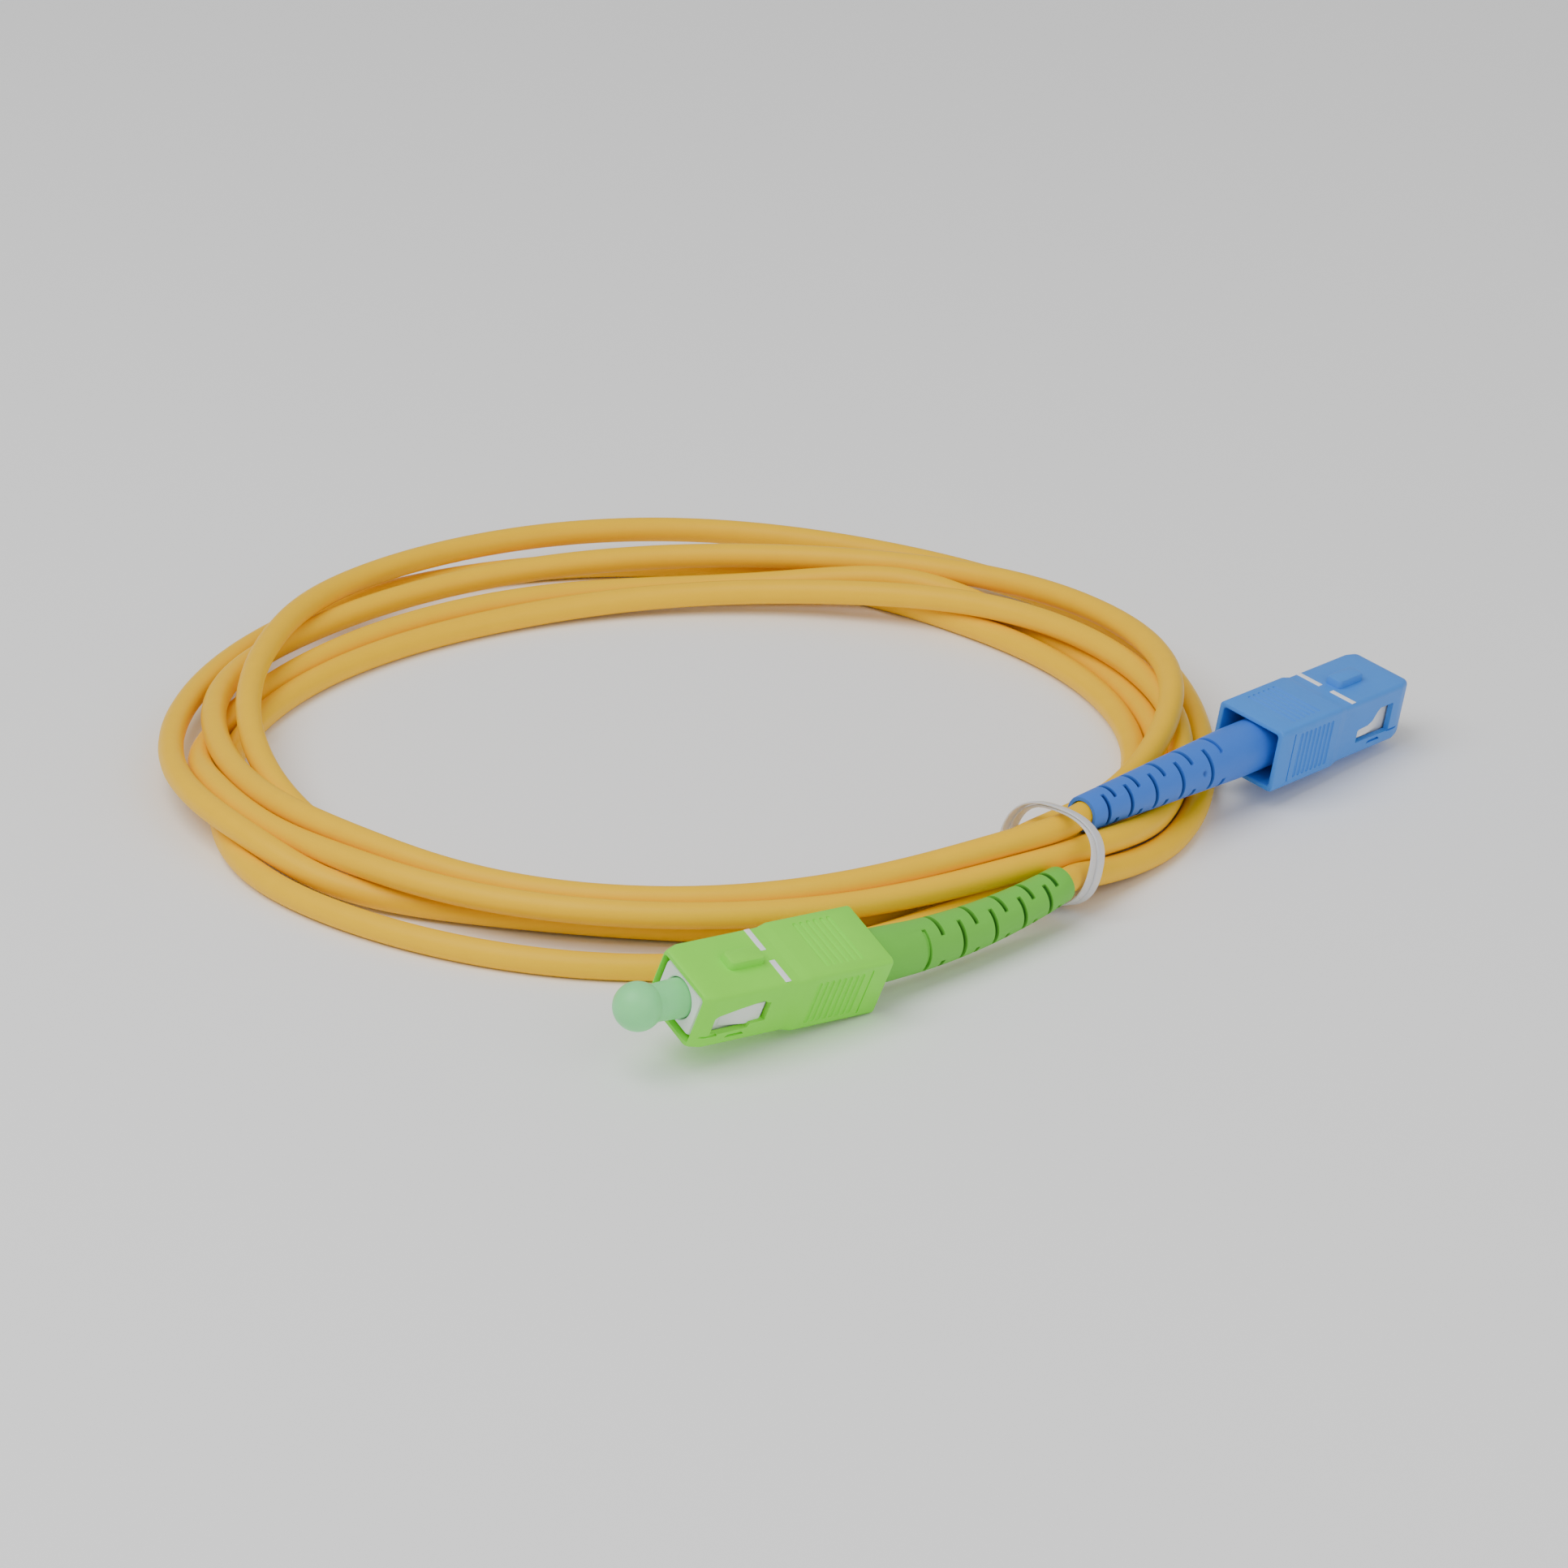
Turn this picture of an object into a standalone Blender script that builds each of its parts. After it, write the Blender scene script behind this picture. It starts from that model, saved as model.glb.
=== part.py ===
"""A simplex fibre patch cord: a green angled-polish connector and a blue flat-polish one on a yellow
jacketed cord, wound into a coil that a clear tie holds, with a dust cap on each ferrule.

Each connector is built about its own empty: local +Z is the way it plugs in, local +Y the key side,
and z = 0 the rear mouth of its outer housing. Lengths are in millimetres, times MM.
"""

import math

import bmesh
import bpy
from mathutils import Euler, Matrix, Vector

MM = 0.001
GAP = 0.3  # kept between pieces that touch
PAST = 1.0  # how far a cutter reaches past a face, or a piece that is joined reaches into the other

# Outer housing, the push-pull sleeve
HOUSING_LENGTH = 25.0
HOUSING_WIDTH, HOUSING_HEIGHT = 9.0, 7.4
GRIP_LENGTH = 12.2
GRIP_WIDTH, GRIP_HEIGHT = 9.4, 7.9
MOUTH_WIDTH, MOUTH_HEIGHT, MOUTH_DEPTH = 8.0, 6.6, 12.0
CHANNEL_WIDTH, CHANNEL_HEIGHT = 7.6, 6.0
FRONT_CHAMFER = 0.9
KEY_WIDTH, KEY_HEIGHT, KEY_START, KEY_END, KEY_ROOT = 2.2, 1.0, 15.2, 19.9, 0.4
WINDOW_START, WINDOW_END, WINDOW_LOW, WINDOW_HIGH = 15.6, 22.2, -1.9, 1.7
RIB_COUNT, RIB_PITCH, RIB_START, RIB_DEPTH, RIB_SLOT, RIB_MARGIN = 6, 1.15, 3.6, 0.25, 0.5, 1.1

# Inner parts, from the front back
FRAME_WIDTH, FRAME_HEIGHT, FRAME_REAR, FRAME_FRONT = 7.0, 5.4, 6.3, 24.7
FRAME_NOSE_RADIUS, FRAME_WALL_REAR, FRAME_WALL_FRONT = 2.3, 17.0, 18.2
FRAME_CAVITY_RADIUS, FRAME_EYE_RADIUS, FRAME_CHAMFER = 2.35, 1.45, 0.5
FERRULE_RADIUS, FERRULE_REAR, FERRULE_TIP, FERRULE_CHAMFER = 1.25, 15.5, 26.2, 0.25
APC_ANGLE, APC_SETBACK = math.radians(8), 0.12
FLANGE_REAR, FLANGE_COLLAR, FLANGE_FRONT, FLANGE_SEAT = 12.8, 15.0, 16.6, 15.3
FLANGE_STEM_RADIUS, FLANGE_RADIUS, FLANGE_BEVEL = 1.4, 2.05, 0.3
SPRING_RADIUS, SPRING_WIRE, SPRING_REAR, SPRING_FRONT, SPRING_TURNS = 1.85, 0.18, 8.6, 14.8, 6
SPRING_CLOSED_ENDS = 0.09  # how much of the pitch the ends give to the middle
STOP_FRONT, STOP_SHOULDER, STOP_COLLAR, STOP_REAR = 8.2, 6.0, 4.3, -5.0
STOP_NOSE_RADIUS, STOP_COLLAR_RADIUS, STOP_SPIGOT_RADIUS = 2.05, 2.9, 1.65
YARN_RADIUS, YARN_INNER_RADIUS = 1.95, 1.8
SLEEVE_FRONT, SLEEVE_STEP, SLEEVE_REAR = 3.9, -5.3, -8.5
SLEEVE_RADIUS, SLEEVE_WAIST_RADIUS, SLEEVE_TAIL_BORE = 2.4, 2.1, 1.75
FIBRE_RADIUS, FIBRE_BORE = 0.45, 0.75
JACKET_START = -5.7
BOOT_FRONT, BOOT_TAPER_START, BOOT_STEP, BOOT_TIP = 4.0, -3.0, -9.0, -30.0
BOOT_RADIUS, BOOT_TIP_RADIUS, BOOT_BORE_RADIUS = 3.05, 2.1, 2.55
BOOT_SLOTS = (2.4, 4.0, 6.3, 8.1, 10.6, 12.6, 15.2, 17.4, 20.3, 22.6)  # each slot's distance from the tip
BOOT_SLOT_WIDTH, BOOT_SLOT_DEPTH, BOOT_SLOT_REACH = 0.5, 0.7, math.radians(58)
CAP_REAR, CAP_RADIUS, CAP_BALL_MIDDLE, CAP_BALL_RADIUS = 20.2, 2.0, 30.0, 2.7
CAP_PLAIN_END, CAP_PLAIN_ROUNDING = 28.2, 1.4
CAP_BORE_RADIUS, CAP_BORE_END, CAP_BORE_BEVEL = 1.4, 26.8, 0.5

# Cord
CORD_RADIUS = 1.5
COIL_CENTRE = Vector((0.5, 4.0, 0.0))
COIL_RADIUS, COIL_WIDTH, COIL_HEIGHT, COIL_ROUNDING = 54.5, 10.0, 5.0, 2.0
TAIL_ROOM_LENGTH = 22.0  # how much of each tail the coil keeps clear of

# Tie
TIE_CENTRE = Vector((41.4, -35.3, 5.85))
TIE_HALF_WIDTH, TIE_HALF_HEIGHT = 6.9, 5.6
TIE_THICKNESS, TIE_BAND, TIE_SQUARENESS = 0.7, 3.2, 0.8
TIE_HEADING, TIE_LEAN = math.radians(47), math.radians(16)

# Where the part's origin is, seen from the middle of the coil: under the middle of its rigid pieces
ORIGIN = Vector((39.4, -34.2, 0.0))

# Each connector: the middle of its rear mouth, its heading from above, its dip and its roll, how far its boot
# is bent and which way from upright, which way the boot's first slots face, whether its cap ends in a ball,
# and where its cord goes on from the boot's tip
APC = {
    "name": "apc", "mouth": Vector((19.9, -61.2, 5.3)), "heading": math.radians(217.8),
    "dip": math.radians(-6.1), "roll": math.radians(-21.7), "boot_bend": math.radians(15),
    "bend_turn": math.radians(32), "slot_turn": math.radians(115), "cap_ball": True,
    "beyond": [(44.9, -36.6, 4.2), (49.4, -29.4, 2.8)],
}
UPC = {
    "name": "upc", "mouth": Vector((64.8, -8.2, 7.0)), "heading": math.radians(48.5),
    "dip": math.radians(3.0), "roll": math.radians(9.5), "boot_bend": 0.0,
    "bend_turn": 0.0, "slot_turn": math.radians(-19.5), "cap_ball": False,
    "beyond": [(37.6, -37.0, 8.0), (29.5, -40.6, 6.6)],
}


def clear_scene():
    for obj in list(bpy.data.objects):
        bpy.data.objects.remove(obj, do_unlink=True)


def material(name, colour, roughness, metallic=0.0, alpha=1.0):
    made = bpy.data.materials.new(name)
    made.use_nodes = True
    made.diffuse_color = (*colour, 1.0)
    shader = made.node_tree.nodes["Principled BSDF"]
    shader.inputs["Base Color"].default_value = (*colour, 1.0)
    shader.inputs["Roughness"].default_value = roughness
    shader.inputs["Metallic"].default_value = metallic
    shader.inputs["Alpha"].default_value = alpha
    return made


def place(name, mesh, parent, look=None):
    """The object of this mesh under an empty, among the pieces."""
    obj = bpy.data.objects.new(name, mesh)
    PIECES.objects.link(obj)
    obj.parent = parent
    if look:
        obj.data.materials.append(look)
    return obj


def box(name, size, middle, parent, look=None, upright_bevel=0.0):
    """A block with its size and middle in millimetres; upright_bevel chamfers its four long edges."""
    shape = bmesh.new()
    bmesh.ops.create_cube(shape, size=1.0)
    bmesh.ops.scale(shape, vec=Vector(size) * MM, verts=shape.verts)
    if upright_bevel:
        long_edges = [e for e in shape.edges if abs((e.verts[0].co - e.verts[1].co).normalized().z) > 0.9]
        bmesh.ops.bevel(
            shape, geom=long_edges, offset=upright_bevel * MM, segments=2, profile=0.5, affect="EDGES"
        )
    bmesh.ops.translate(shape, vec=Vector(middle) * MM, verts=shape.verts)
    mesh = bpy.data.meshes.new(name)
    shape.to_mesh(mesh)
    shape.free()
    return place(name, mesh, parent, look)


def turned(name, outline, parent, look=None, steps=28):
    """An outline of (radius, z) points, turned about local Z. It is closed unless it ends on the axis."""
    area = sum(a[0] * b[1] - b[0] * a[1] for a, b in zip(outline, outline[1:] + outline[:1]))
    downward = outline[::-1] if area > 0 else outline
    edges = [(index, index + 1) for index in range(len(outline) - 1)]
    if outline[0][0] > 0 or outline[-1][0] > 0:
        edges.append((len(outline) - 1, 0))
    mesh = bpy.data.meshes.new(name)
    mesh.from_pydata([(radius * MM, 0.0, z * MM) for radius, z in downward], edges, [])
    obj = place(name, mesh, parent, look)
    turn = obj.modifiers.new("Turn", "SCREW")
    turn.steps = turn.render_steps = steps
    turn.use_merge_vertices = True
    turn.merge_threshold = 0.00001
    turn.use_smooth_shade = True
    return obj


def tube(name, points, radius, parent, look=None, sides_resolution=2):
    """A closed tube along points in millimetres, as a mesh."""
    curve = bpy.data.curves.new(name, "CURVE")
    curve.dimensions = "3D"
    curve.bevel_depth = radius * MM
    curve.bevel_resolution = sides_resolution
    curve.use_fill_caps = True
    spline = curve.splines.new("POLY")
    spline.points.add(len(points) - 1)
    for spot, point in zip(spline.points, points):
        spot.co = (*(Vector(point) * MM), 1.0)
    obj = bpy.data.objects.new(name, curve)
    PIECES.objects.link(obj)
    obj.parent = parent
    if look:
        curve.materials.append(look)
    return obj


def as_mesh(obj):
    """Turns an object into a welded mesh object of the same name, with its modifiers applied."""
    bpy.context.view_layer.update()
    mesh = bpy.data.meshes.new_from_object(obj.evaluated_get(bpy.context.evaluated_depsgraph_get()))
    shape = bmesh.new()
    shape.from_mesh(mesh)
    bmesh.ops.remove_doubles(shape, verts=shape.verts, dist=0.00001)
    bmesh.ops.recalc_face_normals(shape, faces=shape.faces)
    shape.to_mesh(mesh)
    shape.free()
    name, parent, where = obj.name, obj.parent, obj.matrix_local.copy()
    bpy.data.objects.remove(obj, do_unlink=True)
    made = place(name, mesh, parent)
    made.name, made.matrix_local = name, where
    return made


def cut(target, cutter, operation="DIFFERENCE"):
    """Takes the cutter away from the target, and hides it among the cutters."""
    if cutter.name in PIECES.objects:
        PIECES.objects.unlink(cutter)
        CUTTERS.objects.link(cutter)
    cutter.hide_render = True
    cutter.display_type = "WIRE"
    step = target.modifiers.new("Cut " + cutter.name, "BOOLEAN")
    step.operation = operation
    step.solver = "EXACT"
    step.object = cutter


def join(target, extra):
    """Adds the extra shape to the target, and hides it among the cutters."""
    cut(target, extra, "UNION")


def connector_matrix(spec):
    """The connector's own axes: Z along its heading with its dip, Y up, then rolled about Z."""
    level = Euler((math.pi / 2 + spec["dip"], 0, spec["heading"] + math.pi / 2)).to_matrix()
    rolled = level @ Matrix.Rotation(spec["roll"], 3, "Z")
    return Matrix.LocRotScale(spec["mouth"] * MM, rolled.to_quaternion(), None)


def connector_empty(spec):
    empty = bpy.data.objects.new(spec["name"] + "_axes", None)
    PIECES.objects.link(empty)
    empty.parent = ROOT
    empty.matrix_local = connector_matrix(spec)
    return empty


def bend_direction(spec):
    """Which way the boot bends, in the connector's own axes."""
    return Matrix.Rotation(spec["bend_turn"] - spec["roll"], 3, "Z") @ Vector((0, 1, 0))


def bend_point(point, spec):
    """Carries a point behind the taper's start round the boot's bend, an arc of one radius."""
    start, total = BOOT_TAPER_START * MM, (BOOT_TAPER_START - BOOT_TIP) * MM
    if spec["boot_bend"] == 0 or point.z >= start:
        return point
    side = bend_direction(spec)
    radius = total / spec["boot_bend"]
    turn = (start - point.z) / radius
    across = point.x * side.x + point.y * side.y
    rest = Vector((point.x, point.y, 0)) - across * side
    out = radius * (1 - math.cos(turn)) + across * math.cos(turn)
    along = start - radius * math.sin(turn) + across * math.sin(turn)
    return rest + out * side + Vector((0, 0, along))


def bend(obj, spec):
    for vertex in obj.data.vertices:
        vertex.co = bend_point(vertex.co.copy(), spec)


def outer_housing(spec, axes, look):
    name = spec["name"]
    shell = box(
        name + "_outer_housing", (HOUSING_WIDTH, HOUSING_HEIGHT, HOUSING_LENGTH),
        (0, 0, HOUSING_LENGTH / 2), axes, look, upright_bevel=FRONT_CHAMFER,
    )
    grip = box(
        name + "_grip", (GRIP_WIDTH, GRIP_HEIGHT, GRIP_LENGTH), (0, 0, GRIP_LENGTH / 2), axes,
        upright_bevel=FRONT_CHAMFER,
    )
    join(shell, grip)
    key_middle = (KEY_START + KEY_END) / 2
    key = box(
        name + "_key", (KEY_WIDTH, KEY_HEIGHT + KEY_ROOT, KEY_END - KEY_START),
        (0, (HOUSING_HEIGHT + KEY_HEIGHT - KEY_ROOT) / 2, key_middle), axes,
    )
    join(shell, key)
    mouth = box(
        name + "_mouth", (MOUTH_WIDTH, MOUTH_HEIGHT, MOUTH_DEPTH + PAST),
        (0, 0, (MOUTH_DEPTH - PAST) / 2), axes,
    )
    cut(shell, mouth)
    channel = box(
        name + "_channel", (CHANNEL_WIDTH, CHANNEL_HEIGHT, HOUSING_LENGTH),
        (0, 0, MOUTH_DEPTH - PAST + HOUSING_LENGTH / 2), axes,
    )
    cut(shell, channel)
    window = box(
        name + "_window", (GRIP_WIDTH + PAST, WINDOW_HIGH - WINDOW_LOW, WINDOW_END - WINDOW_START),
        (0, (WINDOW_HIGH + WINDOW_LOW) / 2, (WINDOW_START + WINDOW_END) / 2), axes,
    )
    cut(shell, window)
    for index in range(RIB_COUNT):
        along = RIB_START + index * RIB_PITCH
        for side in (-1, 1):
            groove = box(
                f"{name}_side_rib_{index}_{side}", (2 * RIB_DEPTH, GRIP_HEIGHT - 2 * RIB_MARGIN, RIB_SLOT),
                (side * GRIP_WIDTH / 2, 0, along), axes,
            )
            cut(shell, groove)
        groove = box(
            f"{name}_top_rib_{index}", (GRIP_WIDTH - 2 * RIB_MARGIN, 2 * RIB_DEPTH, RIB_SLOT),
            (0, GRIP_HEIGHT / 2, along), axes,
        )
        cut(shell, groove)
    return shell


def plug_frame(spec, axes, look):
    name = spec["name"]
    frame = box(
        name + "_plug_frame", (FRAME_WIDTH, FRAME_HEIGHT, FRAME_FRONT - FRAME_REAR),
        (0, 0, (FRAME_FRONT + FRAME_REAR) / 2), axes, look, upright_bevel=FRAME_CHAMFER,
    )
    bores = (
        ("nose", FRAME_NOSE_RADIUS, FRAME_WALL_FRONT, FRAME_FRONT + PAST),
        ("eye", FRAME_EYE_RADIUS, FRAME_WALL_REAR - PAST, FRAME_WALL_FRONT + PAST),
        ("cavity", FRAME_CAVITY_RADIUS, FRAME_REAR - PAST, FRAME_WALL_REAR),
    )
    for label, radius, rear, front in bores:
        bore = turned(
            f"{name}_{label}", [(0, rear), (radius, rear), (radius, front), (0, front)], axes, steps=32
        )
        cut(frame, bore)
    return frame


def ferrule(spec, axes, look):
    """A ceramic rod with a small chamfer; the angled-polish one has its end face cut at 8 degrees."""
    rod = turned(
        spec["name"] + "_ferrule",
        [(0, FERRULE_REAR), (FERRULE_RADIUS, FERRULE_REAR), (FERRULE_RADIUS, FERRULE_TIP - FERRULE_CHAMFER),
         (FERRULE_RADIUS - FERRULE_CHAMFER, FERRULE_TIP), (0, FERRULE_TIP)],
        axes, look, steps=24,
    )
    if spec["name"] == "apc":
        wedge = box("apc_polish", [4 * FERRULE_RADIUS] * 3, (0, 0, 2 * FERRULE_RADIUS), axes)
        wedge.location.z = (FERRULE_TIP - APC_SETBACK) * MM
        wedge.rotation_euler.x = APC_ANGLE
        cut(rod, wedge)
    return rod


def ferrule_flange(spec, axes, look):
    return turned(
        spec["name"] + "_ferrule_flange",
        [(FIBRE_BORE, FLANGE_REAR), (FLANGE_STEM_RADIUS, FLANGE_REAR), (FLANGE_STEM_RADIUS, FLANGE_COLLAR),
         (FLANGE_RADIUS, FLANGE_COLLAR), (FLANGE_RADIUS, FLANGE_FRONT - FLANGE_BEVEL),
         (FLANGE_RADIUS - FLANGE_BEVEL, FLANGE_FRONT), (FERRULE_RADIUS + GAP / 2, FLANGE_FRONT),
         (FERRULE_RADIUS + GAP / 2, FLANGE_SEAT), (FIBRE_BORE, FLANGE_SEAT)],
        axes, look,
    )


def spring(spec, axes, look):
    """A compression spring with its ends wound close."""
    steps = 14
    count = SPRING_TURNS * steps
    points = []
    for index in range(count + 1):
        share = index / count
        ease = share - SPRING_CLOSED_ENDS * math.sin(math.tau * share)
        along = SPRING_REAR + SPRING_WIRE + (SPRING_FRONT - SPRING_REAR - 2 * SPRING_WIRE) * ease
        turn = math.tau * index / steps
        points.append((SPRING_RADIUS * math.cos(turn), SPRING_RADIUS * math.sin(turn), along))
    return tube(spec["name"] + "_spring", points, SPRING_WIRE, axes, look, sides_resolution=0)


def stop_ring(spec, axes, look):
    """The crimp body: a nose in the plug frame, a collar behind it and a spigot for the yarn."""
    return turned(
        spec["name"] + "_stop_ring",
        [(FIBRE_BORE, STOP_REAR), (STOP_SPIGOT_RADIUS, STOP_REAR), (STOP_SPIGOT_RADIUS, STOP_COLLAR),
         (STOP_COLLAR_RADIUS, STOP_COLLAR), (STOP_COLLAR_RADIUS, STOP_SHOULDER),
         (STOP_NOSE_RADIUS, STOP_SHOULDER), (STOP_NOSE_RADIUS, STOP_FRONT), (FIBRE_BORE, STOP_FRONT)],
        axes, look,
    )


def aramid_yarn(spec, axes, look):
    return turned(
        spec["name"] + "_aramid_yarn",
        [(YARN_INNER_RADIUS, STOP_REAR + GAP), (YARN_RADIUS, STOP_REAR + GAP),
         (YARN_RADIUS, SLEEVE_FRONT - GAP), (YARN_INNER_RADIUS, SLEEVE_FRONT - GAP)],
        axes, look,
    )


def crimp_sleeve(spec, axes, look):
    return turned(
        spec["name"] + "_crimp_sleeve",
        [(SLEEVE_TAIL_BORE, SLEEVE_REAR), (SLEEVE_WAIST_RADIUS, SLEEVE_REAR),
         (SLEEVE_WAIST_RADIUS, SLEEVE_STEP - GAP), (SLEEVE_RADIUS, SLEEVE_STEP), (SLEEVE_RADIUS, SLEEVE_FRONT),
         (SLEEVE_WAIST_RADIUS, SLEEVE_FRONT), (SLEEVE_WAIST_RADIUS, SLEEVE_STEP),
         (SLEEVE_TAIL_BORE, SLEEVE_STEP)],
        axes, look,
    )


def buffered_fibre(spec, axes, look):
    front = FLANGE_REAR + FIBRE_BORE
    return turned(
        spec["name"] + "_buffered_fibre",
        [(0, JACKET_START + GAP), (FIBRE_RADIUS, JACKET_START + GAP), (FIBRE_RADIUS, front), (0, front)],
        axes, look, steps=12,
    )


def boot(spec, axes, look):
    """The strain relief: straight over the sleeve, then tapering to the cord."""
    outside = [(BOOT_RADIUS, BOOT_FRONT), (BOOT_RADIUS, BOOT_TAPER_START)]
    inside = [
        (CORD_RADIUS + GAP, BOOT_STEP), (BOOT_BORE_RADIUS, BOOT_STEP + 0.5), (BOOT_BORE_RADIUS, BOOT_FRONT)
    ]
    segments = 8
    bore = []
    for index in range(segments + 1):
        share = index / segments
        along = BOOT_TAPER_START + (BOOT_TIP - BOOT_TAPER_START) * share
        if index:
            outside.append((BOOT_RADIUS + (BOOT_TIP_RADIUS - BOOT_RADIUS) * share, along))
        if along < BOOT_STEP - 0.5:
            bore.append((CORD_RADIUS + GAP, along))
    made = as_mesh(turned(spec["name"] + "_boot", outside + bore[::-1] + inside, axes, look))
    bend(made, spec)
    cut(made, boot_slots(spec, axes))
    return made


def boot_slots(spec, axes):
    """The cutter of the boot's slots: in each, two arcs face opposite ways, and each slot is turned by 90
    degrees from the last. The arcs stop short of the cord's bore."""
    steps = 6
    shape = bmesh.new()
    for index, from_tip in enumerate(BOOT_SLOTS):
        middle = BOOT_TIP + from_tip
        share = (BOOT_TAPER_START - middle) / (BOOT_TAPER_START - BOOT_TIP)
        outer = BOOT_RADIUS + (BOOT_TIP_RADIUS - BOOT_RADIUS) * share + PAST
        inner = max(CORD_RADIUS + 1.5 * GAP, outer - PAST - BOOT_SLOT_DEPTH)
        for facing in (0, math.pi):
            start = spec["slot_turn"] + index * math.pi / 2 + facing - BOOT_SLOT_REACH
            rings = []
            for step in range(steps + 1):
                turn = start + 2 * BOOT_SLOT_REACH * step / steps
                outward = Vector((math.cos(turn), math.sin(turn), 0))
                low, high = middle - BOOT_SLOT_WIDTH / 2, middle + BOOT_SLOT_WIDTH / 2
                rings.append([
                    shape.verts.new(bend_point((radius * outward + Vector((0, 0, z))) * MM, spec))
                    for radius, z in ((inner, low), (outer, low), (outer, high), (inner, high))
                ])
            for ring, following in zip(rings, rings[1:]):
                for corner in range(4):
                    after = (corner + 1) % 4
                    shape.faces.new((ring[corner], ring[after], following[after], following[corner]))
            shape.faces.new(rings[0])
            shape.faces.new(rings[-1])
    bmesh.ops.recalc_face_normals(shape, faces=shape.faces)
    mesh = bpy.data.meshes.new(spec["name"] + "_boot_slots")
    shape.to_mesh(mesh)
    shape.free()
    return place(spec["name"] + "_boot_slots", mesh, axes)


def dust_cap(spec, axes, look):
    """A closed cap over the ferrule, which ends in a ball or, when plain, in a low dome."""
    steps = 9
    if spec["cap_ball"]:
        middle, radius, rise = CAP_BALL_MIDDLE, CAP_BALL_RADIUS, CAP_BALL_RADIUS
        start = -math.acos(CAP_RADIUS / CAP_BALL_RADIUS)
    else:
        middle, radius, rise = CAP_PLAIN_END - CAP_PLAIN_ROUNDING, CAP_RADIUS, CAP_PLAIN_ROUNDING
        start = 0.0
    end = []
    for step in range(steps):
        turn = start + (math.pi / 2 - start) * step / steps
        end.append((radius * math.cos(turn), middle + rise * math.sin(turn)))
    outline = [
        (0, CAP_BORE_END), (CAP_BORE_RADIUS, CAP_BORE_END - CAP_BORE_BEVEL), (CAP_BORE_RADIUS, CAP_REAR),
        (CAP_RADIUS, CAP_REAR), *end, (0, middle + rise),
    ]
    return turned(spec["name"] + "_dust_cap", outline, axes, look)


def connector(spec, looks):
    """All the pieces of one connector, on its own axes."""
    axes = connector_empty(spec)
    name = spec["name"]
    outer_housing(spec, axes, looks[name + "_housing"])
    plug_frame(spec, axes, looks["frame"])
    ferrule(spec, axes, looks["ceramic"])
    ferrule_flange(spec, axes, looks["nickel"])
    spring(spec, axes, looks["spring"])
    stop_ring(spec, axes, looks["nickel"])
    aramid_yarn(spec, axes, looks["aramid"])
    crimp_sleeve(spec, axes, looks["crimp"])
    buffered_fibre(spec, axes, looks["buffer"])
    boot(spec, axes, looks[name + "_boot"])
    dust_cap(spec, axes, looks[name + "_cap"])


def smooth_route(points, spacing):
    """Points this far apart on a Catmull-Rom curve through the given ones, in millimetres."""
    ends = [points[0] * 2 - points[1], *points, points[-1] * 2 - points[-2]]
    fine = []
    for before, start, end, after in zip(ends, ends[1:], ends[2:], ends[3:]):
        for step in range(40):
            t = step / 40
            fine.append(
                0.5 * (2 * start + (end - before) * t + (2 * before - 5 * start + 4 * end - after) * t**2
                       + (3 * start - before - 3 * end + after) * t**3)
            )
    fine.append(points[-1])
    route, since = [fine[0]], 0.0
    for last, spot in zip(fine, fine[1:]):
        since += (spot - last).length
        if since >= spacing:
            route.append(spot)
            since = 0.0
    route[-1] = fine[-1]
    return route


def tail_route(spec):
    """The jacket from its start in the crimp sleeve, through the boot, to where it joins the coil."""
    stations = (JACKET_START, BOOT_STEP, -16.0, -23.0, BOOT_TIP, BOOT_TIP - 1.0)
    own = [bend_point(Vector((0, 0, z)) * MM, spec) for z in stations]
    inside = [connector_matrix(spec) @ spot / MM for spot in own]
    return smooth_route(inside + [Vector(spot) for spot in spec["beyond"]], 2 * CORD_RADIUS)


def tail_clearance(spec, route):
    """A cutter along a tail's free end: the room that the coil's solid leaves for it."""
    end_gap = (route[-1] - route[-2]).normalized() * GAP
    free = [spot for spot in route if (spot - route[-1]).length < TAIL_ROOM_LENGTH] + [route[-1] + end_gap]
    return as_mesh(tube(spec["name"] + "_tail_room", free, CORD_RADIUS + GAP, ROOT))


def tie_loop(name, grow, band, look=None):
    """The tie's oval band round the bundle, grown by this much when it is a cutter."""
    steps = 40
    curve = bpy.data.curves.new(name, "CURVE")
    curve.dimensions = "2D"
    curve.fill_mode = "BOTH"
    curve.extrude = band / 2 * MM
    for inset in (-grow, TIE_THICKNESS + grow):
        spline = curve.splines.new("POLY")
        spline.points.add(steps - 1)
        spline.use_cyclic_u = True
        for index, spot in enumerate(spline.points):
            turn = math.tau * index / steps
            cos, sin = math.cos(turn), math.sin(turn)
            across = (TIE_HALF_WIDTH - inset) * math.copysign(abs(cos) ** TIE_SQUARENESS, cos)
            upward = (TIE_HALF_HEIGHT - inset) * math.copysign(abs(sin) ** TIE_SQUARENESS, sin)
            spot.co = (across * MM, upward * MM, 0.0, 1.0)
    obj = place(name, curve, ROOT, look)
    turn = Euler((math.pi / 2 + TIE_LEAN, 0, TIE_HEADING + math.pi / 2)).to_matrix()
    obj.matrix_local = Matrix.LocRotScale(TIE_CENTRE * MM, turn.to_quaternion(), None)
    return obj


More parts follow.
